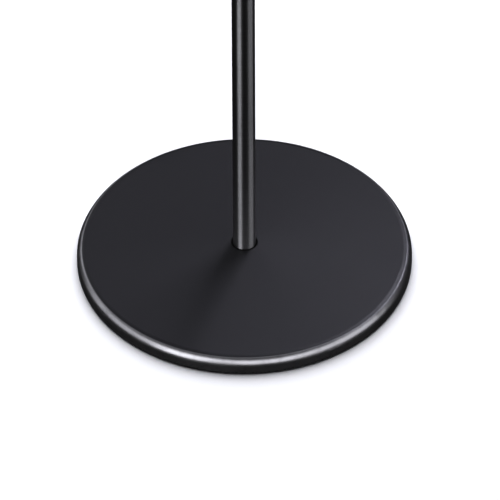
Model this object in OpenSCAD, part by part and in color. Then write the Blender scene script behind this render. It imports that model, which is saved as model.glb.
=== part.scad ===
// Desktop headphone stand: a solid metal base disc, a slim tube as the pole, and a padded saddle on top.
// Frame: +Z up, origin at the centre of the footprint on the table, saddle's long axis along X.

/* [Base] */
// Diameter of the base disc
base_d = 148; // [130:1:170]
// Height of the rim's top above the table
rim_h = 8.4; // [8:0.1:9.4]
// Height of the conical crown at the pole
crown_h = 10.8; // [10.4:0.1:13]
// Radius of the rim's upper edge
rim_r = 4; // [2:0.1:5]
// Radius of the rim's lower edge
rim_low_r = 0.6; // [0.3:0.1:1]

/* [Foot pad] */
// Gap that the pad leaves between the table and the metal
foot_lift = 0.6; // [0.5:0.1:1]
// Depth of the pad's recess in the base
foot_recess = 1.2; // [1:0.1:1.4]
// Outer diameter of the rubber pad
foot_pad_d = 136; // [120:1:138]
// Diameter of the pad's centre hole, for reaching the bolt
foot_pad_hole = 30; // [20:1:40]
// Number of non-slip grooves in the pad
foot_grooves = 7; // [3:1:9]

/* [Pole] */
// Outer diameter of the pole
pole_d = 10; // [10:0.1:11]
// Wall of the pole's tube
pole_wall = 1.2; // [1:0.1:1.3]
// Depth of the pole's seat in the base's crown
seat_depth = 1.3; // [1:0.1:1.5]
// Radial width of the rubber ring round the pole's foot
foot_ring_w = 0.7; // [0.5:0.1:1]
// Length of each threaded insert
insert_l = 16; // [12:1:20]

/* [Hanger] */
// Height of the whole stand
stand_h = 280; // [250:1:310]
// Width of the saddle plate, across the headband
saddle_w = 46; // [40:1:52]
// Outer radius of the padded saddle
saddle_r = 71; // [68:1:76]
// Half of the angle that the saddle plate spans
saddle_half_angle = 42; // [38:1:46]
// Thickness of the saddle plate
plate_t = 3; // [2.6:0.1:3.4]
// Radius of the saddle plate's corners
plate_corner_r = 10; // [8:0.5:12]
// Bare border of the plate round the pad
pad_border = 1.6; // [1.2:0.1:2.5]
// Thickness of the pad's board
board_t = 1.8; // [1.6:0.1:2]
// Thickness of the pad's foam at the crest
foam_t = 3; // [2.5:0.1:3.5]
// Rise of the pad's crown between its edges and its middle
pad_crown = 0.9; // [0.5:0.1:1.2]
// Thickness of the pad's cover
cover_t = 0.8; // [0.6:0.1:1]
// Diameter of the neck where it carries the plate
neck_d = 24; // [23:0.5:28]

/* [Hidden] */
$fn = 96;
// Facets of the large arcs, and of the pad's crown profile
arc_fn = 180;
crown_fn = 720;

// Cuts run past the faces that they open by this much
cut = 1;

// Base and foot pad
base_r = base_d / 2;
recess_z = foot_lift + foot_recess;
recess_gap = 0.4;
adhesive_t = 0.15;
adhesive_inset = 1;
foot_pad_t = recess_z - adhesive_t;
groove_w = 1.6;
groove_depth = 0.5;
groove_margin = 5;
pole_z = crown_h - seat_depth;
seat_gap = 0.03;
seat_r = pole_d / 2 + foot_ring_w + seat_gap;
seat_chamfer = 0.25;
// The ring's top stays this far below the crown
foot_ring_drop = 0.05;

// M5 bolt stack under the pole: head, split washer, flat washer
thread_pitch = 0.8;
thread_depth = 0.43;
thread_gap = 0.06;
bolt_r = 2.5;
bolt_head_r = 4.75;
bolt_head_h = 2.75;
bolt_hole_r = 2.75;
bolt_sunk = 0.2;
bolt_l = 16;
hex_af = 3;
hex_depth = 1.8;
small_hex_af = 2.5;
lock_washer_t = 1.2;
lock_washer_ri = 2.6;
lock_washer_ro = 4.6;
lock_washer_slit = 0.9;
lock_washer_slant = 30;
lock_washer_slit_h = 4 * lock_washer_t;
flat_washer_t = 1;
flat_washer_ri = 2.65;
flat_washer_ro = 5;
counterbore_r = 5.6;
bolt_head_z = recess_z + bolt_sunk + bolt_head_h;
flat_washer_z = bolt_head_z + lock_washer_t;
counterbore_z = flat_washer_z + flat_washer_t;

// Pole and inserts
tube_ri = pole_d / 2 - pole_wall;
tube_chamfer = 0.3;
glue_gap = 0.02;
glue_groove_w = 1.5;
glue_groove_depth = 0.35;

// Saddle: an arch about an axis along Y, at height arch_z
arch_z = stand_h - saddle_r;
plate_ro = saddle_r - cover_t - foam_t - board_t;
plate_ri = plate_ro - plate_t;
board_ro = plate_ro + board_t;
foam_ro = board_ro + foam_t;
pad_inset_angle = pad_border / plate_ro * 180 / PI;
pad_half_angle = saddle_half_angle - pad_inset_angle;
pad_w = saddle_w - 2 * pad_border;
pad_corner_r = plate_corner_r - pad_border;
inner_half_angle = pad_half_angle - cover_t / plate_ro * 180 / PI;
inner_w = pad_w - 2 * cover_t;
inner_corner_r = pad_corner_r - cover_t;
crown_r = (pad_w * pad_w / 4 + pad_crown * pad_crown) / (2 * pad_crown);
// Corner arcs are this much larger than true, so that they cross the straight edges cleanly
corner_relief = 0.02;

// Neck: a collar over the pole's end that flares to the plate
neck_top_z = arch_z + plate_ri;
neck_flange_h = 6.5;
neck_collar_wall = 1.2;
neck_collar_h = 6;
neck_collar_r = pole_d / 2 + neck_collar_wall;
neck_flare_r = neck_d / 2 - neck_collar_r;
neck_flange_z = neck_top_z - neck_flange_h;
neck_z = neck_flange_z - neck_flare_r - neck_collar_h;
neck_socket = 3;
neck_socket_gap = 0.05;
neck_edge = 0.5;
pole_top_z = neck_z + neck_socket;
stud_l = 16;
stud_z = pole_top_z - stud_l / 2;

// M4 countersunk screws, plate to neck
neck_screw_y = 7.5;
neck_screw_r = 2;
neck_screw_head_r = 4;
neck_screw_l = 8;
neck_screw_sunk = 0.2;
neck_screw_shank_l = plate_t - 2 * neck_screw_sunk;
neck_thread_pitch = 0.7;
neck_thread_depth = 0.38;
neck_screw_gap = 0.15;
// Height of the countersunk heads' upper face
plate_screw_z = arch_z + plate_ro - neck_screw_sunk;

// Pan-head screws, plate to pad board
pad_screw_angle = 27;
pad_screw_y = 14;
pad_screw_r = 1.25;
pad_screw_head_r = 2.4;
pad_screw_head_h = 1.5;
pad_screw_hole_r = 1.4;
pad_screw_tip_gap = 0.3;
pad_screw_slot_w = 0.6;
pad_screw_slot_l = pad_screw_head_r * 1.2;
pad_screw_slot_depth = 0.8;
// A flat head bears on the plate's hollow underside at its rim, so it sits this far off at its axis
pad_screw_seat = plate_ri - sqrt(plate_ri * plate_ri - pad_screw_head_r * pad_screw_head_r);

// ---------- shared shapes ----------

// Tangent point of the line from p to the upper side of the circle at c with radius r
function upper_tangent(p, c, r) =
    let (d = c - p, l = norm(d), a = atan2(d.y, d.x) + asin(r / l), t = sqrt(l * l - r * r))
    p + t * [cos(a), sin(a)];

// Half profile of a screw thread along Y, from the axis out: a zigzag between crest and root
function thread_profile(r, depth, pitch, length) =
    let (turns = floor(length / pitch))
    concat(
        [[0, 0], [r - depth, 0]],
        [for (i = [0 : turns - 1], s = [0, 1])
            s == 0 ? [r, (i + 0.5) * pitch] : [r - depth, (i + 1) * pitch]],
        [[r - depth, length], [0, length]]
    );

// A thread of ridges, standing on z = 0
module thread(r, depth, pitch, length) {
    rotate_extrude() polygon(thread_profile(r, depth, pitch, length));
}

// Hexagon socket for a key, standing on z = 0
module hex_socket(across_flats, depth) {
    cylinder(h = depth, r = across_flats / 2 / cos(30), $fn = 6);
}

// Solid sector about the arch's axis with radial ends, its corners rounded as seen along the radius
module arch_sector(half_angle, width, corner_r) {
    reach = saddle_r * 2;
    margin = 3;
    end = reach * [sin(half_angle), cos(half_angle)];
    translate([0, 0, arch_z])
        difference() {
            rotate([90, 0, 0])
                linear_extrude(width, center = true)
                    polygon([[0, 0], [-end.x, end.y], [0, reach], end]);
            for (side = [-1, 1], edge = [-1, 1])
                rotate([0, side * half_angle, 0])
                    scale([side, edge, 1])
                        translate([-corner_r, width / 2 - corner_r, plate_ri - margin])
                            linear_extrude(saddle_r - plate_ri + 2 * margin)
                                difference() {
                                    square(corner_r + cut);
                                    circle(corner_r + corner_relief);
                                }
        }
}

// Cylinder about the arch's axis
module drum(r) {
    translate([0, 0, arch_z])
        rotate([90, 0, 0])
            cylinder(h = saddle_w + 4 * cut, r = r, center = true, $fn = arc_fn);
}

// The same with a crowned outside, r at its middle
module crowned_drum(r) {
    translate([0, 0, arch_z])
        rotate([90, 0, 0])
            rotate_extrude($fn = arc_fn)
                intersection() {
                    translate([0, -saddle_w / 2]) square([r + cut, saddle_w]);
                    translate([r - crown_r, 0]) circle(crown_r, $fn = crown_fn);
                }
}

// Places its children on the arch, with their +Z pointing out along the radius
module on_arch(angle, y, radius) {
    translate([0, y, arch_z])
        rotate([0, angle, 0])
            translate([0, 0, radius])
                children();
}

// Where each pad screw stands: angle along the arch and distance across it
pad_screw_places = [for (a = [-1, 1], y = [-1, 1]) [a * pad_screw_angle, y * pad_screw_y]];

// ---------- base ----------

// Half section of the disc, as a polygon that the two edge roundings complete
module base_profile() {
    top = [base_r - rim_r, rim_h - rim_r];
    low = [base_r - rim_low_r, foot_lift + rim_low_r];
    crown = [seat_r, crown_h];
    polygon([
        [0, foot_lift], [low.x, foot_lift], low, [base_r, low.y],
        [base_r, top.y], top, upper_tangent(crown, top, rim_r), crown, [0, crown_h]
    ]);
    intersection() {
        translate(top) circle(rim_r);
        translate(top - [rim_r, 0]) square(rim_r * 2);
    }
    translate(low) circle(rim_low_r);
}

module base_disc() {
    color("#26262a")
        difference() {
            rotate_extrude() base_profile();
            // recess for the rubber pad
            cylinder(h = recess_z, r = foot_pad_d / 2 + recess_gap);
            // counterbore for the bolt's head and washers, and the bolt's hole
            cylinder(h = counterbore_z, r = counterbore_r);
            cylinder(h = crown_h, r = bolt_hole_r);
            // seat of the pole and its ring, with a broken edge
            translate([0, 0, pole_z]) cylinder(h = seat_depth + cut, r = seat_r);
            translate([0, 0, crown_h - seat_chamfer])
                cylinder(h = seat_chamfer + cut, r1 = seat_r, r2 = seat_r + seat_chamfer + cut);
        }
}

module foot_pad() {
    first = foot_pad_hole / 2 + groove_margin;
    last = foot_pad_d / 2 - groove_margin - groove_w;
    color("#141414")
        rotate_extrude()
            difference() {
                translate([foot_pad_hole / 2, 0])
                    square([(foot_pad_d - foot_pad_hole) / 2, foot_pad_t]);
                for (i = [0 : foot_grooves - 1])
                    translate([first + i * (last - first) / (foot_grooves - 1), -cut])
                        square([groove_w, groove_depth + cut]);
            }
}

module foot_pad_adhesive() {
    color("#c8c4b4")
        translate([0, 0, foot_pad_t])
            difference() {
                cylinder(h = adhesive_t, r = foot_pad_d / 2 - adhesive_inset);
                translate([0, 0, -cut])
                    cylinder(h = adhesive_t + 2 * cut, r = foot_pad_hole / 2 + adhesive_inset);
            }
}

// Button-head bolt, head down, with its socket open to below
module base_bolt() {
    dome_r = (bolt_head_r * bolt_head_r + bolt_head_h * bolt_head_h) / (2 * bolt_head_h);
    color("#5a5a5e")
        difference() {
            union() {
                intersection() {
                    translate([0, 0, bolt_head_z - bolt_head_h + dome_r]) sphere(dome_r);
                    translate([0, 0, bolt_head_z - bolt_head_h])
                        cylinder(h = bolt_head_h, r = bolt_head_r);
                }
                translate([0, 0, bolt_head_z - cut / 2]) cylinder(h = cut, r = bolt_r - thread_depth);
                translate([0, 0, bolt_head_z]) thread(bolt_r, thread_depth, thread_pitch, bolt_l);
            }
            translate([0, 0, bolt_head_z - bolt_head_h - cut]) hex_socket(hex_af, hex_depth + cut);
        }
}

module base_lock_washer() {
    color("#8a8a8e")
        translate([0, 0, bolt_head_z])
            difference() {
                cylinder(h = lock_washer_t, r = lock_washer_ro);
                translate([0, 0, -cut]) cylinder(h = lock_washer_t + 2 * cut, r = lock_washer_ri);
                translate([lock_washer_ro / 2 + cut, 0, lock_washer_t / 2])
                    rotate([lock_washer_slant, 0, 0])
                        cube([lock_washer_ro + cut, lock_washer_slit, lock_washer_slit_h], center = true);
            }
}

module base_flat_washer() {
    color("#9a9a9e")
        translate([0, 0, flat_washer_z])
            difference() {
                cylinder(h = flat_washer_t, r = flat_washer_ro);
                translate([0, 0, -cut]) cylinder(h = flat_washer_t + 2 * cut, r = flat_washer_ri);
            }
}

// ---------- pole ----------

module pole_foot_ring() {
    color("#0c0c0c")
        translate([0, 0, pole_z])
            difference() {
                cylinder(h = seat_depth - foot_ring_drop, r = pole_d / 2 + foot_ring_w);
                translate([0, 0, -cut]) cylinder(h = seat_depth + 2 * cut, r = pole_d / 2 + glue_gap);
            }
}

module pole_tube() {
    l = pole_top_z - pole_z;
    r = pole_d / 2;
    c = tube_chamfer;
    color("#1d1d20")
        translate([0, 0, pole_z])
            rotate_extrude()
                polygon([
                    [tube_ri, c], [tube_ri + c, 0], [r - c, 0], [r, c],
                    [r, l - c], [r - c, l], [tube_ri + c, l], [tube_ri, l - c]
                ]);
}

// Plug glued into the tube, standing on z = 0
module tube_plug() {
    r = tube_ri - glue_gap;
    difference() {
        cylinder(h = insert_l, r = r);
        for (z = [insert_l / 4, insert_l * 3 / 4])
            translate([0, 0, z - glue_groove_w / 2])
                difference() {
                    cylinder(h = glue_groove_w, r = r + cut);
                    translate([0, 0, -cut])
                        cylinder(h = glue_groove_w + 2 * cut, r = r - glue_groove_depth);
                }
    }
}

module pole_lower_insert() {
    color("#b8b8ba")
        difference() {
            translate([0, 0, pole_z]) tube_plug();
            // thread for the base bolt
            translate([0, 0, bolt_head_z])
                thread(bolt_r + thread_gap, thread_depth, thread_pitch,
                    pole_z + insert_l - bolt_head_z + thread_pitch);
        }
}

module pole_upper_insert() {
    color("#b8b8ba")
        difference() {
            translate([0, 0, pole_top_z - insert_l]) tube_plug();
            // thread for the stud
            translate([0, 0, stud_z - stud_l / 2 - thread_pitch])
                thread(bolt_r + thread_gap, thread_depth, thread_pitch, stud_l + 2 * thread_pitch);
        }
}

// ---------- hanger ----------

module hanger_stud() {
    color("#5a5a5e")
        translate([0, 0, stud_z])
            difference() {
                thread(bolt_r, thread_depth, thread_pitch, stud_l);
                translate([0, 0, stud_l - hex_depth]) hex_socket(small_hex_af, hex_depth + cut);
            }
}

// Half profile of the neck, up to above the plate's underside
module neck_profile() {
    top = neck_flange_h + cut;
    difference() {
        union() {
            translate([0, neck_z]) square([neck_collar_r, neck_flange_z - neck_z]);
            translate([neck_collar_r - cut, neck_flange_z - neck_flare_r])
                square([neck_flare_r + cut, neck_flare_r]);
            translate([0, neck_flange_z]) square([neck_d / 2, top]);
        }
        translate([neck_d / 2, neck_flange_z - neck_flare_r]) circle(neck_flare_r);
        // broken edge at the collar's mouth
        translate([neck_collar_r, neck_z]) rotate(45) square(neck_edge * sqrt(2), center = true);
    }
}

module hanger_neck() {
    color("#26262a")
        difference() {
            intersection() {
                rotate_extrude() neck_profile();
                translate([0, 0, arch_z]) rotate([90, 0, 0])
                    cylinder(h = neck_d * 2, r = plate_ri, center = true);
            }
            // socket over the pole's end
            translate([0, 0, neck_z - cut])
                cylinder(h = neck_socket + cut, r = pole_d / 2 + neck_socket_gap);
            // tapped hole for the stud
            translate([0, 0, pole_top_z - thread_pitch])
                thread(bolt_r + thread_gap, thread_depth, thread_pitch, stud_l / 2 + 2 * thread_pitch);
            // tapped holes for the plate's screws
            for (y = [-1, 1] * neck_screw_y)
                translate([0, y, plate_screw_z - neck_screw_l - neck_thread_pitch])
                    thread(neck_screw_r + thread_gap, neck_thread_depth, neck_thread_pitch,
                        neck_screw_l + neck_thread_pitch + cut);
        }
}

// Countersunk screw, its head's upper face at z = 0
module countersunk_screw() {
    head_h = neck_screw_head_r - neck_screw_r;
    difference() {
        union() {
            translate([0, 0, -head_h]) cylinder(h = head_h, r1 = neck_screw_r, r2 = neck_screw_head_r);
            translate([0, 0, -neck_screw_shank_l])
                cylinder(h = neck_screw_shank_l - head_h / 2, r = neck_screw_r);
            translate([0, 0, -neck_screw_l])
                thread(neck_screw_r, neck_thread_depth, neck_thread_pitch,
                    neck_screw_l - neck_screw_shank_l);
        }
        translate([0, 0, -hex_depth]) hex_socket(small_hex_af, hex_depth + cut);
    }
}

module neck_screws() {
    color("#5a5a5e")
        for (y = [-1, 1] * neck_screw_y)
            translate([0, y, plate_screw_z]) countersunk_screw();
}

module saddle_plate() {
    r = neck_screw_r + neck_screw_gap;
    head_h = neck_screw_head_r - neck_screw_r;
    color("#26262a")
        difference() {
            intersection() {
                arch_sector(saddle_half_angle, saddle_w, plate_corner_r);
                drum(plate_ro);
            }
            drum(plate_ri);
            // countersinks for the screws into the neck
            for (y = [-1, 1] * neck_screw_y)
                translate([0, y, plate_screw_z]) {
                    translate([0, 0, -plate_t - cut]) cylinder(h = plate_t + 2 * cut, r = r);
                    translate([0, 0, -head_h]) cylinder(h = head_h + cut, r1 = r, r2 = r + head_h + cut);
                }
            // holes for the pad's screws
            for (p = pad_screw_places)
                on_arch(p[0], p[1], plate_ri - cut) cylinder(h = plate_t + 2 * cut, r = pad_screw_hole_r);
        }
}

module pad_board() {
    color("#3a3a3a")
        difference() {
            intersection() {
                arch_sector(inner_half_angle, inner_w, inner_corner_r);
                drum(board_ro);
            }
            drum(plate_ro);
            // pilot holes for the pad's screws
            for (p = pad_screw_places)
                on_arch(p[0], p[1], plate_ro - cut)
                    cylinder(h = board_t - pad_screw_tip_gap / 2 + cut, r = pad_screw_r);
        }
}

module pad_foam() {
    color("#55524c")
        difference() {
            intersection() {
                arch_sector(inner_half_angle, inner_w, inner_corner_r);
                crowned_drum(foam_ro);
            }
            drum(board_ro);
        }
}

// Strip of cover round the edge of the board and the foam
module pad_side_band() {
    color("#1a1a1b")
        difference() {
            intersection() {
                arch_sector(pad_half_angle, pad_w, pad_corner_r);
                crowned_drum(foam_ro);
            }
            drum(plate_ro);
            arch_sector(inner_half_angle, inner_w, inner_corner_r);
        }
}

// Upper panel of the cover, sewn to the side band along its edge
module pad_top_panel() {
    color("#1a1a1b")
        difference() {
            intersection() {
                arch_sector(pad_half_angle, pad_w, pad_corner_r);
                crowned_drum(saddle_r);
            }
            crowned_drum(foam_ro);
        }
}

// Pan-head screw with a cross recess: its head rests on z = 0 from below and its shank points up
module pan_screw(length) {
    dome_r = (pad_screw_head_r * pad_screw_head_r + pad_screw_head_h * pad_screw_head_h)
        / (2 * pad_screw_head_h);
    difference() {
        union() {
            intersection() {
                translate([0, 0, dome_r - pad_screw_head_h]) sphere(dome_r);
                translate([0, 0, -pad_screw_head_h]) cylinder(h = pad_screw_head_h, r = pad_screw_head_r);
            }
            translate([0, 0, -cut / 2]) cylinder(h = length + cut / 2, r = pad_screw_r);
        }
        for (a = [0, 90])
            rotate(a)
                translate([0, 0, -pad_screw_head_h])
                    cube([pad_screw_slot_l, pad_screw_slot_w, 2 * pad_screw_slot_depth], center = true);
    }
}

module pad_screws() {
    color("#77777b")
        for (p = pad_screw_places)
            on_arch(p[0], p[1], plate_ri - pad_screw_seat)
                pan_screw(plate_t + board_t + pad_screw_seat - pad_screw_tip_gap);
}

base_disc();
foot_pad();
foot_pad_adhesive();
base_bolt();
base_lock_washer();
base_flat_washer();
pole_foot_ring();
pole_tube();
pole_lower_insert();
pole_upper_insert();
hanger_stud();
hanger_neck();
neck_screws();
saddle_plate();
pad_board();
pad_foam();
pad_side_band();
pad_top_panel();
pad_screws();
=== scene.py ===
"""Looks for the headphone stand: materials, a sewn leather pad, a pale floor, soft light and the camera."""
import math

import bpy
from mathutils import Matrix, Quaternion, Vector
from mathutils.bvhtree import BVHTree
from mathutils.kdtree import KDTree


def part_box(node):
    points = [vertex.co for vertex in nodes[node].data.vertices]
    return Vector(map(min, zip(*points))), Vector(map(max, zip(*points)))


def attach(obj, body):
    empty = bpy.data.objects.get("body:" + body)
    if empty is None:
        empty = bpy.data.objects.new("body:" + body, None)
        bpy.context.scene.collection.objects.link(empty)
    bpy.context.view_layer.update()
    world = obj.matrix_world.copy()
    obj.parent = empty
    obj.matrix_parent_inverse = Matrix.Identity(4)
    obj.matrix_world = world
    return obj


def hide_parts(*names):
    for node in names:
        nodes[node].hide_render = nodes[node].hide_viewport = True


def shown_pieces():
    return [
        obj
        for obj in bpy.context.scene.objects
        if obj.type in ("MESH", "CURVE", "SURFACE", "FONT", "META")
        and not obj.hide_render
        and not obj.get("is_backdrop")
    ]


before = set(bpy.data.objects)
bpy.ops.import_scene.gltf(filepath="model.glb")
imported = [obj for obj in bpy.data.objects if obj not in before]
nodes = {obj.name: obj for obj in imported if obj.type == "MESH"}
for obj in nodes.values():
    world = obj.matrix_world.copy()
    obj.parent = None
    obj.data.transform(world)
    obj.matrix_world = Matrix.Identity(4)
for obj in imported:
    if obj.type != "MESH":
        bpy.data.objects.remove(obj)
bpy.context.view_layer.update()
scene = bpy.context.scene

MM = 0.001


# ---------- materials ----------

class Look:
    """A material under construction: its node tree and its Principled shader."""

    def __init__(self, name):
        self.material = bpy.data.materials.new(name)
        self.material.use_nodes = True
        self.tree = self.material.node_tree
        self.shader = self.tree.nodes["Principled BSDF"]
        self.place = self.tree.nodes.new("ShaderNodeTexCoord").outputs["Object"]

    def node(self, kind, inputs, **settings):
        """Adds a node; inputs maps socket names or numbers to values or to other nodes' outputs."""
        made = self.tree.nodes.new("ShaderNode" + kind)
        for key, value in settings.items():
            setattr(made, key, value)
        for key, value in inputs.items():
            self.put(made.inputs[key], value)
        return made

    def put(self, socket, value):
        if isinstance(value, bpy.types.NodeSocket):
            self.tree.links.new(value, socket)
        else:
            socket.default_value = value

    def set(self, **values):
        """Sets the Principled shader's inputs, named with _ for a space."""
        for key, value in values.items():
            self.put(self.shader.inputs[key.replace("_", " ")], value)

    def noise(self, size, detail=2.0, stretch=(1, 1, 1), place=None):
        """Noise from 0 to 1 whose blobs are about size metres across, longer where stretch is over 1."""
        scale = [1 / (size * s) for s in stretch]
        scaled = self.node("Mapping", {"Vector": place or self.place, "Scale": scale})
        made = self.node("TexNoise", {"Vector": scaled.outputs[0], "Scale": 1.0, "Detail": detail})
        return made.outputs["Fac"]

    def cells(self, size, feature="F1"):
        """Distance to the nearest of the cells about size metres across, or to their borders."""
        made = self.node("TexVoronoi", {"Vector": self.place, "Scale": 1 / size}, feature=feature)
        return made.outputs["Distance"]

    def remap(self, value, low, high, start=0.0, end=1.0):
        """value from low..high to start..end, clamped and smooth."""
        limits = {"From Min": low, "From Max": high, "To Min": start, "To Max": end}
        made = self.node("MapRange", {"Value": value, **limits}, interpolation_type="SMOOTHSTEP")
        return made.outputs[0]

    def math(self, operation, a, b=0.0):
        return self.node("Math", {0: a, 1: b}, operation=operation).outputs[0]

    def blend(self, factor, a, b):
        """Colour a where factor is 0 and b where it is 1."""
        made = self.node("Mix", {0: factor, 6: (*a, 1) if isinstance(a, tuple) else a,
                                 7: (*b, 1) if isinstance(b, tuple) else b}, data_type="RGBA")
        return made.outputs[2]

    def radius(self):
        """Distance from the vertical axis through the object's origin."""
        x, y = self.node("SeparateXYZ", {0: self.place}).outputs[:2]
        return self.math("SQRT", self.math("ADD", self.math("MULTIPLY", x, x), self.math("MULTIPLY", y, y)))

    def bumps(self, *layers):
        """Stacks bump layers, each a height from 0 to 1 and its depth in metres."""
        normal = None
        for height, depth in layers:
            inputs = {"Height": height, "Distance": depth, "Strength": 1.0}
            if normal:
                inputs["Normal"] = normal
            normal = self.node("Bump", inputs).outputs[0]
        self.set(Normal=normal)


COAT = (0.0085, 0.0085, 0.0095)
EDGE_METAL = (0.35, 0.35, 0.355)
EDGE_ROUGHNESS = 0.34
POLE_DARK = (0.44, 0.44, 0.445)
POLE_LIGHT = (0.52, 0.52, 0.525)

# The base's coat gives way to polished metal over this stretch, counted inwards from the rim's outside
BASE_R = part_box("base_disc")[1].x
EDGE_START = BASE_R - 2.6 * MM
EDGE_FULL = BASE_R - 1.8 * MM


def satin_coat(name, colour, roughness, specular, edge=None):
    """Baked satin coat on metal: faint orange peel, fine grit and slow changes of gloss from handling.

    edge is (start, full): the coat gives way to dark polished metal between those distances from the axis.
    """
    look = Look(name)
    peel = look.noise(1.6 * MM, 3)
    grit = look.noise(0.22 * MM, 2)
    smudge = look.remap(look.noise(26 * MM, 3), 0.35, 0.7)
    speck = look.remap(look.cells(1.4 * MM), 0.1, 0.02)
    light = tuple(1.35 * c for c in colour)
    tone = look.blend(look.remap(grit, 0.3, 0.75), colour, light)
    tone = look.blend(look.math("MULTIPLY", speck, 0.12), tone, (0.09, 0.09, 0.095))
    rough = look.math("ADD", look.remap(grit, 0.3, 0.7, roughness - 0.03, roughness + 0.03),
                      look.math("MULTIPLY", smudge, 0.035))
    if edge:
        polished = look.remap(look.radius(), *edge)
        dull_metal = tuple(0.8 * c for c in EDGE_METAL)
        scuffed = look.blend(look.remap(look.noise(4 * MM, 4), 0.45, 0.75), EDGE_METAL, dull_metal)
        tone = look.blend(polished, tone, scuffed)
        rough = look.math("ADD", rough, look.math("MULTIPLY", polished, EDGE_ROUGHNESS - roughness))
        look.set(Metallic=polished)
    look.set(Base_Color=tone, Roughness=rough, Specular_IOR_Level=specular)
    look.bumps((peel, 0.012 * MM), (grit, 0.006 * MM))
    return look.material


def turned_pole(name):
    """Dark polished metal, ground all round: fine rings spread its highlights along the pole."""
    look = Look(name)
    rings = look.noise(0.12 * MM, 2, stretch=(60, 60, 1))
    grit = look.noise(0.3 * MM, 2)
    smudge = look.remap(look.noise(18 * MM, 3, stretch=(1, 1, 3)), 0.35, 0.7)
    tone = look.blend(look.remap(rings, 0.3, 0.7), POLE_DARK, POLE_LIGHT)
    rough = look.math("ADD", look.remap(grit, 0.3, 0.7, 0.32, 0.35), look.math("MULTIPLY", smudge, 0.03))
    around = look.node("Tangent", {}, direction_type="RADIAL", axis="Z")
    look.set(Base_Color=tone, Metallic=1.0, Roughness=rough, Anisotropic=0.95, Anisotropic_Rotation=0.25,
             Tangent=around.outputs[0], Specular_IOR_Level=0.5)
    look.bumps((rings, 0.0015 * MM), (grit, 0.002 * MM))
    return look.material


def rubber(name):
    """Moulded rubber: dull, finely pitted, with a trace of dust."""
    look = Look(name)
    fine = look.noise(0.25 * MM, 3)
    pits = look.remap(look.cells(0.6 * MM), 0.0, 0.35)
    dust = look.remap(look.noise(5 * MM, 4), 0.5, 0.75)
    tone = look.blend(dust, (0.011, 0.011, 0.011), (0.022, 0.021, 0.02))
    look.set(Base_Color=tone, Roughness=look.remap(fine, 0.3, 0.7, 0.78, 0.9), Specular_IOR_Level=0.35)
    look.bumps((pits, 0.02 * MM), (fine, 0.02 * MM))
    return look.material


def machined(name, colour, roughness):
    """Turned or rolled metal: fine tool rings about the vertical, and blotches of tarnish."""
    look = Look(name)
    height = look.node("SeparateXYZ", {0: look.place}).outputs[2]
    line = look.node("CombineXYZ", {0: look.radius(), 1: 0.0, 2: height}).outputs[0]
    rings = look.noise(0.1 * MM, 2, place=line)
    tarnish = look.remap(look.noise(1.8 * MM, 3), 0.4, 0.7)
    dark = tuple(0.6 * c for c in colour)
    look.set(Base_Color=look.blend(tarnish, colour, dark), Metallic=1.0,
             Roughness=look.math("ADD", look.remap(rings, 0.3, 0.7, roughness - 0.06, roughness + 0.06),
                                 look.math("MULTIPLY", tarnish, 0.1)))
    look.bumps((rings, 0.004 * MM))
    return look.material


def moulded_board(name):
    """Dark fibre-filled plastic board."""
    look = Look(name)
    fibres = look.noise(0.4 * MM, 3, stretch=(6, 1, 1))
    fine = look.noise(0.2 * MM, 2)
    look.set(Base_Color=look.blend(look.remap(fibres, 0.35, 0.7), (0.03, 0.03, 0.029), (0.06, 0.058, 0.054)),
             Roughness=look.remap(fine, 0.3, 0.7, 0.5, 0.66))
    look.bumps((fibres, 0.02 * MM), (fine, 0.01 * MM))
    return look.material


def film(name):
    """Double-sided film: off-white paper liner with short fibres."""
    look = Look(name)
    fibres = look.noise(0.5 * MM, 3, stretch=(5, 1, 1))
    stain = look.remap(look.noise(9 * MM, 3), 0.4, 0.7)
    tone = look.blend(stain, (0.6, 0.57, 0.48), (0.5, 0.47, 0.38))
    look.set(Base_Color=look.blend(look.remap(fibres, 0.5, 0.75), tone, (0.66, 0.64, 0.56)),
             Roughness=look.remap(fibres, 0.3, 0.7, 0.45, 0.6))
    look.bumps((fibres, 0.01 * MM))
    return look.material


def leather(name):
    """Fine black leather: creases between pebbles, longer folds, and polish on the high spots."""
    look = Look(name)
    wander = look.noise(2.2 * MM, 2)
    net = look.cells(1.05 * MM, "DISTANCE_TO_EDGE")
    small = look.cells(0.5 * MM, "DISTANCE_TO_EDGE")
    pebble = look.remap(net, 0.0, 0.24)
    fine = look.remap(small, 0.0, 0.3)
    fold = look.remap(look.noise(7 * MM, 3, stretch=(1, 2.2, 1)), 0.35, 0.7)
    high = look.math("MULTIPLY", pebble, look.remap(wander, 0.3, 0.7, 0.6, 1.0))
    tone = look.blend(high, (0.0035, 0.0035, 0.0038), (0.0125, 0.0122, 0.013))
    tone = look.blend(look.math("MULTIPLY", fold, 0.35), tone, (0.020, 0.0192, 0.0196))
    look.set(Base_Color=tone, Roughness=look.remap(high, 0.0, 1.0, 0.62, 0.44), Specular_IOR_Level=0.5,
             Sheen_Weight=0.05, Sheen_Roughness=0.5)
    look.bumps((fold, 0.08 * MM), (pebble, 0.05 * MM), (fine, 0.018 * MM))
    return look.material


def waxed_thread(name):
    """Bonded polyester thread: fine filaments, slightly glossy."""
    look = Look(name)
    strands = look.noise(0.09 * MM, 2, stretch=(4, 1, 1))
    tone = look.blend(look.remap(strands, 0.3, 0.7), (0.026, 0.026, 0.028), (0.080, 0.080, 0.085))
    look.set(Base_Color=tone, Roughness=look.remap(strands, 0.3, 0.7, 0.42, 0.6), Specular_IOR_Level=0.35,
             Sheen_Weight=0.05)
    look.bumps((strands, 0.02 * MM))
    return look.material


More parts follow.
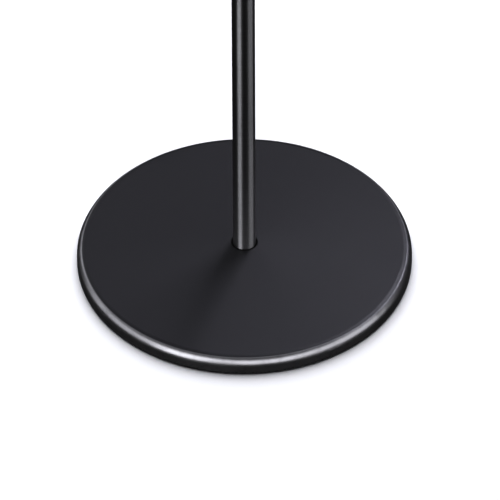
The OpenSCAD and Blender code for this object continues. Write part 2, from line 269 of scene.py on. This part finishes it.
looks = {
    "base_disc": satin_coat("satin_black_base", COAT, 0.46, 0.4, edge=(EDGE_START, EDGE_FULL)),
    "hanger_neck": satin_coat("satin_black_neck", COAT, 0.36, 0.5),
    "saddle_plate": satin_coat("satin_black_plate", COAT, 0.38, 0.5),
    "pole_tube": turned_pole("black_pole"),
    "foot_pad": rubber("pad_rubber"),
    "pole_foot_ring": rubber("ring_rubber"),
    "foot_pad_adhesive": film("adhesive_film"),
    "base_bolt": machined("black_oxide", (0.055, 0.054, 0.056), 0.42),
    "hanger_stud": machined("black_oxide_stud", (0.055, 0.054, 0.056), 0.42),
    "neck_screws": machined("black_oxide_screws", (0.055, 0.054, 0.056), 0.42),
    "base_lock_washer": machined("zinc_lock_washer", (0.56, 0.57, 0.58), 0.36),
    "base_flat_washer": machined("zinc_flat_washer", (0.6, 0.61, 0.62), 0.3),
    "pole_lower_insert": machined("lower_insert_steel", (0.55, 0.55, 0.56), 0.3),
    "pole_upper_insert": machined("upper_insert_steel", (0.55, 0.55, 0.56), 0.3),
    "pad_screws": machined("nickel_screws", (0.16, 0.16, 0.165), 0.34),
    "pad_board": moulded_board("pad_board_plastic"),
}
for name, look_made in looks.items():
    mesh = nodes[name].data
    mesh.materials.clear()
    mesh.materials.append(look_made)


WELD_GAP = 0.001 * MM
SHARP_ANGLE = math.radians(40)

# Machined edges are broken by a small round that catches the light.
for name, width in (("saddle_plate", 0.35 * MM), ("hanger_neck", 0.3 * MM)):
    nodes[name].modifiers.new("joined", "WELD").merge_threshold = WELD_GAP
    broken = nodes[name].modifiers.new("broken_edges", "BEVEL")
    broken.width = width
    broken.segments = 2
    broken.limit_method = "ANGLE"
    broken.angle_limit = SHARP_ANGLE
    nodes[name].modifiers.new("even_shading", "WEIGHTED_NORMAL")


# ---------- shape of the saddle, read from the frame ----------

def rightmost(name):
    return max((v.co for v in nodes[name].data.vertices), key=lambda p: p.x)


# The plate's outer surface is an arch about an axis along Y: two of its points give the arch.
plate_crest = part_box("saddle_plate")[1].z
plate_end = rightmost("saddle_plate")
ARCH_Z = (plate_crest ** 2 - plate_end.x ** 2 - plate_end.z ** 2) / (2 * (plate_crest - plate_end.z))
PLATE_R = plate_crest - ARCH_Z
CREST_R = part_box("pad_top_panel")[1].z - ARCH_Z
BOARD_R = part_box("pad_board")[1].z - ARCH_Z
pad_end = rightmost("pad_side_band")
PAD_ANGLE = math.atan2(pad_end.x, pad_end.z - ARCH_Z)
PAD_HALF_L = PAD_ANGLE * PLATE_R
PAD_HALF_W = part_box("pad_top_panel")[1].y
PAD_CORNER_R = 8.4 * MM              # the design's corner radius of the plate, less the bare border


def on_arch(x, y, r):
    """Point at arc length x along the plate's surface, y across it, and radius r."""
    angle = x / PLATE_R
    return Vector((r * math.sin(angle), y, ARCH_Z + r * math.cos(angle)))


# ---------- leather pad ----------

SEAM_RISE = 3.9 * MM                 # from the plate to the seam between the top panel and the side band
SEAM_R = PLATE_R + SEAM_RISE
BAND_DROPS = [d * MM for d in (0.2, 0.45, 0.85, 1.5, 2.3, 3.1, 3.65)]
BAND_BULGE = 0.26 * MM               # how far the side band stands out halfway down
CREST_SLACK = 0.35 * MM              # the crown starts this far below its CAD height, and swells
GLUE_LINE = 0.05 * MM                # gap between the leather and the board or the plate
SKIRT = 0.9 * MM                     # leather and its turned edge beside the board
SEAM_PULL = 0.5 * MM                 # how far the thread draws the long seams in, halfway along
STITCH_INSET = 2.4 * MM              # from the seam to the row of stitches
BORDER_RISE = 0.22 * MM              # roundness of the border between the seam and the stitches
CROWN_SPREAD = 3.2 * MM              # how gently the crown rises from the stitches
STITCH_HOLD = 0.45 * MM              # points this close to the stitches don't swell
FREE_RINGS = slice(3, 7)             # the side band's loops that may swell
FOOT_INSET = 0.25 * MM               # how far the band turns in at the plate
LINE_STEP = 0.25 * MM                # spacing of points along the seam and the stitches
SEAM_GROOVE = (0.75 * MM, 0.34 * MM) # depth and width
STITCH_GROOVE = (0.22 * MM, 0.7 * MM)
RAY_START = 20 * MM                  # height over the plate from which points are dropped onto the pad
STRAIGHT_COLUMNS, CORNER_COLUMNS, HALF_ROWS = 52, 10, 22


def columns(inset, pull=0.0):
    """(x, half width) of the pad's plan from end to end, its rounded outline moved in by inset."""
    corner = PAD_CORNER_R - inset
    straight = PAD_HALF_L - PAD_CORNER_R
    width = PAD_HALF_W - inset
    found = []
    for i in range(-STRAIGHT_COLUMNS // 2, STRAIGHT_COLUMNS // 2 + 1):
        x = 2 * straight * i / STRAIGHT_COLUMNS
        found.append((x, width - pull * math.cos(math.pi / 2 * x / straight) ** 2))
    turns = [math.pi / 2 * i / CORNER_COLUMNS for i in range(1, CORNER_COLUMNS + 1)]
    ends = [(straight + corner * math.sin(t), width - corner + corner * math.cos(t)) for t in turns]
    return [(-x, w) for x, w in reversed(ends)] + found + ends


def inside(x, y):
    """How far a point of the plan lies inside the pad's outline."""
    qx = abs(x) - (PAD_HALF_L - PAD_CORNER_R)
    qy = abs(y) - (PAD_HALF_W - PAD_CORNER_R)
    return PAD_CORNER_R - math.hypot(max(qx, 0), max(qy, 0)) - min(max(qx, qy), 0)


def top_height(d):
    """Radius of the unfilled top panel at a distance inside the outline: a low border, then the crown."""
    if d < STITCH_INSET:
        return SEAM_R + BORDER_RISE * math.sin(math.pi * d / STITCH_INSET)
    return SEAM_R + (CREST_R - CREST_SLACK - SEAM_R) * (1 - math.exp(-(d - STITCH_INSET) / CROWN_SPREAD))


def pad_grid(inset, pull, height):
    """Grid of points over the plan, rows closest together near the edges."""
    rows = [math.sin(math.pi / 2 * i / HALF_ROWS) for i in range(-HALF_ROWS, HALF_ROWS + 1)]
    return [[on_arch(x, w * row, height(x, w * row)) for row in rows] for x, w in columns(inset, pull)]


def edge_of(grid):
    """The grid's outer points as one closed loop."""
    return ([column[0] for column in grid] + list(grid[-1][1:]) +
            [column[-1] for column in reversed(grid[:-1])] + list(reversed(grid[0][1:-1])))


def build_pad():
    """Closed pad: crowned top panel, side band, and an underside recessed over the board.

    Returns the mesh, the seam's ring of points, and the points that are free to swell.
    """
    top = pad_grid(0, SEAM_PULL, lambda x, y: top_height(max(inside(x, y), 0)))
    floor_r = BOARD_R + GLUE_LINE
    under = pad_grid(SKIRT, 0, lambda x, y: floor_r)
    foot_r = PLATE_R + GLUE_LINE
    loops = []
    for drop in BAND_DROPS:
        part = drop / SEAM_RISE
        bulge = BAND_BULGE * math.sin(math.pi * part) ** 0.8
        loops.append(edge_of(pad_grid(-bulge, SEAM_PULL * (1 - part), lambda x, y: SEAM_R - drop)))
    loops.append(edge_of(pad_grid(FOOT_INSET, 0, lambda x, y: foot_r)))
    loops.append(edge_of(pad_grid(SKIRT, 0, lambda x, y: foot_r)))

    points, faces, slots = [], [], {}

    def index(point, key):
        if key not in slots:
            slots[key] = len(points)
            points.append(point)
        return slots[key]

    for name, grid in (("top", top), ("under", under)):
        for i in range(len(grid)):
            for j in range(len(grid[0])):
                index(grid[i][j], (name, i, j))
        for i in range(len(grid) - 1):
            for j in range(len(grid[0]) - 1):
                corners = (i, j), (i + 1, j), (i + 1, j + 1), (i, j + 1)
                quad = [slots[name, a, b] for a, b in corners]
                faces.append(quad if name == "top" else quad[::-1])
    last_i, last_j = len(top) - 1, len(top[0]) - 1
    ring = ([(i, 0) for i in range(last_i + 1)] + [(last_i, j) for j in range(1, last_j + 1)] +
            [(i, last_j) for i in range(last_i - 1, -1, -1)] + [(0, j) for j in range(last_j - 1, 0, -1)])
    rings = [[slots["top", i, j] for i, j in ring]]
    for loop in loops:
        rings.append([len(points) + k for k in range(len(loop))])
        points.extend(loop)
    rings.append([slots["under", i, j] for i, j in ring])
    for upper, lower in zip(rings, rings[1:]):
        for k in range(len(ring)):
            n = (k + 1) % len(ring)
            faces.append([upper[k], lower[k], lower[n], upper[n]])

    free = {slots["top", i, j] for i in range(1, last_i) for j in range(1, last_j)
            if abs(inside(*plan_of(top[i][j])) - STITCH_INSET) > STITCH_HOLD}
    free.update(k for loop in rings[FREE_RINGS] for k in loop)
    mesh = bpy.data.meshes.new("pad_cushion")
    mesh.from_pydata(points, [], faces)
    mesh.update()
    return mesh, rings[0], free


def plan_of(point):
    """(x, y) of a point over the arch in the pad's plan."""
    return math.atan2(point.x, point.z - ARCH_Z) * PLATE_R, point.y


def inflate(cushion, free, scale=10, pressure=14.0, frames=20, most=0.8 * MM):
    """Fills the pad by Cloth on a copy scale times bigger; no point moves more than most."""
    copy = cushion.copy()
    copy.data = cushion.data.copy()
    scene.collection.objects.link(copy)
    for vertex in copy.data.vertices:
        vertex.co *= scale
    held = copy.vertex_groups.new(name="held")
    held.add([v.index for v in copy.data.vertices if v.index not in free], 1.0, "REPLACE")
    cloth = copy.modifiers.new("fill", "CLOTH")
    cloth.settings.quality = 6
    cloth.settings.mass = 0.3
    cloth.settings.tension_stiffness = cloth.settings.compression_stiffness = 20
    cloth.settings.shear_stiffness = 8
    cloth.settings.bending_stiffness = 1.5
    cloth.settings.vertex_group_mass = "held"
    cloth.settings.use_pressure = True
    cloth.settings.uniform_pressure_force = pressure
    cloth.settings.effector_weights.gravity = 0
    cloth.collision_settings.use_collision = False
    cloth.point_cache.frame_start, cloth.point_cache.frame_end = 1, frames
    for frame_number in range(1, frames + 1):
        scene.frame_set(frame_number)
    filled = copy.evaluated_get(bpy.context.evaluated_depsgraph_get()).to_mesh()
    for vertex, moved in zip(cushion.data.vertices, filled.vertices):
        step = moved.co / scale - vertex.co
        vertex.co += step.normalized() * min(step.length, most)
    bpy.data.objects.remove(copy, do_unlink=True)
    scene.frame_set(1)


def smooth_steps(points, step):
    """Points every step metres or a little less along a closed loop."""
    lengths = [(points[(i + 1) % len(points)] - p).length for i, p in enumerate(points)]
    total = sum(lengths)
    count = math.ceil(total / step)
    found, i, done = [], 0, 0.0
    for k in range(count):
        want = total * k / count
        while done + lengths[i] < want:
            done += lengths[i]
            i += 1
        a, b = points[i], points[(i + 1) % len(points)]
        found.append(a.lerp(b, (want - done) / lengths[i]))
    return found


def press_line(mesh, line, depth, width):
    """Sinks the surface along a line of points."""
    tree = KDTree(len(line))
    for i, point in enumerate(line):
        tree.insert(point, i)
    tree.balance()
    normals = [v.normal.copy() for v in mesh.vertices]
    for vertex, normal in zip(mesh.vertices, normals):
        distance = tree.find(vertex.co)[2]
        vertex.co -= normal * depth * math.exp(-(distance / width) ** 2)
    mesh.update()


def stitch_row(surface, line, length=2.5 * MM, gap=0.95 * MM, thick=0.5 * MM):
    """Thread along a closed line of surface points: twisted stitches whose ends dive into the leather."""
    count = round(len(line) * (line[1] - line[0]).length / (length + gap))
    per = len(line) / count
    points, faces = [], []
    sides, spans = 10, 10
    for k in range(count):
        path = []
        for s in range(spans + 1):
            u = s / spans
            at = (k + (0.5 + (u - 0.5) * length / (length + gap))) * per
            i = int(at)
            here = line[i % len(line)].lerp(line[(i + 1) % len(line)], at - i)
            ahead = (line[(i + 2) % len(line)] - line[(i - 2) % len(line)]).normalized()
            out = surface.find_nearest(here)[1]
            lift = thick * (0.42 - 1.0 * abs(2 * u - 1) ** 3)
            path.append((here + out * lift, ahead, out, u))
        start = len(points)
        for here, ahead, out, u in path:
            across = out.cross(ahead).normalized()
            up = ahead.cross(across).normalized()
            slim = 1 - 0.35 * abs(2 * u - 1) ** 4
            for a in range(sides):
                angle = 2 * math.pi * a / sides
                lobe = 0.80 + 0.20 * abs(math.cos(angle - 3.2 * math.pi * u))
                radius = thick / 2 * slim * lobe
                points.append(here + (across * math.cos(angle) + up * math.sin(angle)) * radius)
        for s in range(spans):
            for a in range(sides):
                b = (a + 1) % sides
                faces.append([start + s * sides + a, start + s * sides + b,
                              start + (s + 1) * sides + b, start + (s + 1) * sides + a])
        faces.append([start + a for a in reversed(range(sides))])
        faces.append([start + spans * sides + a for a in range(sides)])
    mesh = bpy.data.meshes.new("pad_stitches")
    mesh.from_pydata(points, [], faces)
    mesh.update()
    return mesh


def piece_of(name, mesh, look):
    """Object of a mesh with smooth shading and one material."""
    made = bpy.data.objects.new(name, mesh)
    scene.collection.objects.link(made)
    mesh.materials.append(look)
    mesh.shade_smooth()
    return made


pad_mesh, seam_ring, free_points = build_pad()
cushion = piece_of("pad_cushion", pad_mesh, leather("black_leather"))
inflate(cushion, free_points)
seam_line = smooth_steps([cushion.data.vertices[i].co.copy() for i in seam_ring], LINE_STEP)

finer = cushion.modifiers.new("finer", "SUBSURF")
finer.levels = 1
finer.boundary_smooth = "ALL"
refined = bpy.data.meshes.new_from_object(cushion.evaluated_get(bpy.context.evaluated_depsgraph_get()))
cushion.modifiers.clear()
cushion.data = refined
refined.name = "pad_cushion_sewn"
bpy.data.meshes.remove(pad_mesh)

surface = BVHTree.FromPolygons([v.co for v in refined.vertices], [p.vertices[:] for p in refined.polygons])
stitch_plan = smooth_steps(edge_of([[Vector((x, w * row, 0)) for row in (-1, -0.5, 0, 0.5, 1)]
                                    for x, w in columns(STITCH_INSET, SEAM_PULL)]), LINE_STEP)


def on_surface(point):
    """Point of the pad's top over a place in its plan."""
    foot = on_arch(point.x, point.y, PLATE_R)
    away = (foot - Vector((0, point.y, ARCH_Z))).normalized()
    return surface.ray_cast(foot + away * RAY_START, -away)[0]


stitch_line = [on_surface(p) for p in stitch_plan]
press_line(refined, seam_line, *SEAM_GROOVE)
press_line(refined, stitch_line, *STITCH_GROOVE)
surface = BVHTree.FromPolygons([v.co for v in refined.vertices], [p.vertices[:] for p in refined.polygons])
stitch_line = [on_surface(p) for p in stitch_plan]
stitches = piece_of("pad_stitches", stitch_row(surface, stitch_line), waxed_thread("black_thread"))

for piece in (cushion, stitches):
    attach(piece, "root")
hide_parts("pad_top_panel", "pad_side_band", "pad_foam")


# ---------- stage ----------

FLOOR_R = 40.0
WALL_R = 11.0
WALL_H = 6.0
WALL_BOTTOM = -0.1

bpy.ops.mesh.primitive_circle_add(vertices=128, radius=FLOOR_R, fill_type="NGON", location=(0, 0, 0))
floor = bpy.context.object
floor.name = "floor"
floor_look = Look("pale_floor")
floor_look.set(Base_Color=floor_look.blend(floor_look.remap(floor_look.noise(0.4, 2), 0.3, 0.7),
                                           (0.86, 0.86, 0.875), (0.88, 0.88, 0.89)),
               Roughness=0.9, Specular_IOR_Level=0.1)
floor.data.materials.append(floor_look.material)
floor.visible_glossy = False
floor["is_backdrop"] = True

# White wall far behind, which only the camera sees.
bpy.ops.mesh.primitive_cylinder_add(vertices=128, radius=WALL_R, depth=WALL_H, end_fill_type="NOTHING",
                                    location=(0, 0, WALL_BOTTOM + WALL_H / 2))
wall = bpy.context.object
wall.name = "wall"
wall_look = Look("white_wall")
wall_look.set(Base_Color=(0, 0, 0, 1), Specular_IOR_Level=0.0, Emission_Color=(0.97, 0.975, 1.0, 1),
              Emission_Strength=wall_look.remap(wall_look.noise(2.0, 2), 0.3, 0.7, 1.25, 1.3))
wall.data.materials.append(wall_look.material)
for ray in ("visible_diffuse", "visible_glossy", "visible_shadow"):
    setattr(wall, ray, False)
wall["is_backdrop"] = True

VIEW_AZIMUTH = math.radians(38.0)
VIEW_ELEVATION = math.radians(42.2)
VIEW_DISTANCE = 2.96
VIEW_ROLL = math.radians(-0.25)
LENS, SENSOR = 482, 36
AIM_RIGHT = 2.45 * MM
AIM_UP = 4.4 * MM


def direction(azimuth, elevation):
    """Unit vector from the object towards azimuth, counted from -Y towards +X, and elevation, in radians."""
    flat = math.cos(elevation)
    return Vector((math.sin(azimuth) * flat, -math.cos(azimuth) * flat, math.sin(elevation)))


camera = bpy.data.objects.new("camera", bpy.data.cameras.new("camera"))
scene.collection.objects.link(camera)
camera.data.lens = LENS
camera.data.sensor_width = SENSOR
camera.data.clip_start, camera.data.clip_end = 0.1, 100
back = direction(VIEW_AZIMUTH, VIEW_ELEVATION)
turn = (-back).to_track_quat("-Z", "Y")
aim = turn @ Vector((AIM_RIGHT, AIM_UP, 0))
camera.location = aim + back * VIEW_DISTANCE
camera.rotation_mode = "QUATERNION"
camera.rotation_quaternion = turn @ Quaternion((0, 0, 1), VIEW_ROLL)
scene.camera = camera


def group(name, pieces):
    """Collection that a lamp can be limited to."""
    made = bpy.data.collections.new(name)
    scene.collection.children.link(made)
    for piece in pieces:
        made.objects.link(piece)
    return made


base = group("base", [nodes["base_disc"], nodes["foot_pad"]])
stand = group("stand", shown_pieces())
hanger_metal = [nodes[name] for name in ("saddle_plate", "hanger_neck", "pad_screws")]
pole = group("pole", [nodes["pole_tube"]])
hanger = group("hanger", [cushion, stitches] + hanger_metal)
ground = group("ground", [floor])


LAMP_AIM = Vector((0, 0, 0.05))


def lamp(name, data, side, height, distance, lights):
    """Lamp for one collection, side degrees to the right of the camera's azimuth and height degrees up."""
    made = bpy.data.objects.new(name, data)
    scene.collection.objects.link(made)
    way = direction(VIEW_AZIMUTH + math.radians(side), math.radians(height))
    made.location = LAMP_AIM + way * distance
    made.rotation_mode = "QUATERNION"
    made.rotation_quaternion = way.to_track_quat("Z", "Y")
    made.visible_camera = False
    made.light_linking.receiver_collection = lights
    return made


def panel(name, side, height, width, tall, radiance, lights, colour=(0.955, 0.95, 1.0), distance=2.0):
    """Soft box that spans width by tall degrees as seen from the stand, radiance in display whites."""
    data = bpy.data.lights.new(name, "AREA")
    data.shape = "RECTANGLE"
    data.size = 2 * distance * math.tan(math.radians(width / 2))
    data.size_y = 2 * distance * math.tan(math.radians(tall / 2))
    data.energy = radiance * math.pi * data.size * data.size_y
    data.color = colour
    return lamp(name, data, side, height, distance, lights)


BLUISH = (0.87, 0.86, 1.0)

# name, side, height, width, tall, radiance, what it lights
panel("left_panel", -38, 20, 34, 50, 3.9, stand)
panel("side_panel", -88, 20, 50, 46, 1.3, base)
panel("rear_left_panel", -145, 25, 36, 30, 1.2, base)
panel("front_panel", 14, 20, 48, 46, 2.6, base)
panel("right_panel", 68, 20, 50, 50, 1.9, stand)
panel("back_panel", 144, 48, 22, 30, 12, base, BLUISH)
panel("back_fill", 180, 46, 90, 44, 0.5, base, BLUISH)
panel("rear_pole_panel", 176, 20, 26, 50, 2.4, pole)
panel("hanger_left_panel", -38, 22, 34, 50, 11, hanger)
panel("hanger_right_panel", 68, 22, 50, 50, 5.5, hanger)
panel("hanger_top_panel", 150, 66, 60, 50, 1.4, hanger)

key = bpy.data.lights.new("floor_light", "SUN")
key.energy = 4.55
key.angle = math.radians(72)
key.color = (0.96, 0.965, 1.0)
lamp("floor_light", key, 180, 64, 3.0, ground)

world = bpy.data.worlds.new("studio")
scene.world = world
world.use_nodes = True
sky = world.node_tree.nodes["Background"]
sky.inputs["Color"].default_value = (0.95, 0.96, 1.0, 1)
sky.inputs["Strength"].default_value = 0.025

scene.view_settings.view_transform = "Standard"
scene.view_settings.look = "None"
scene.view_settings.gamma = 0.8
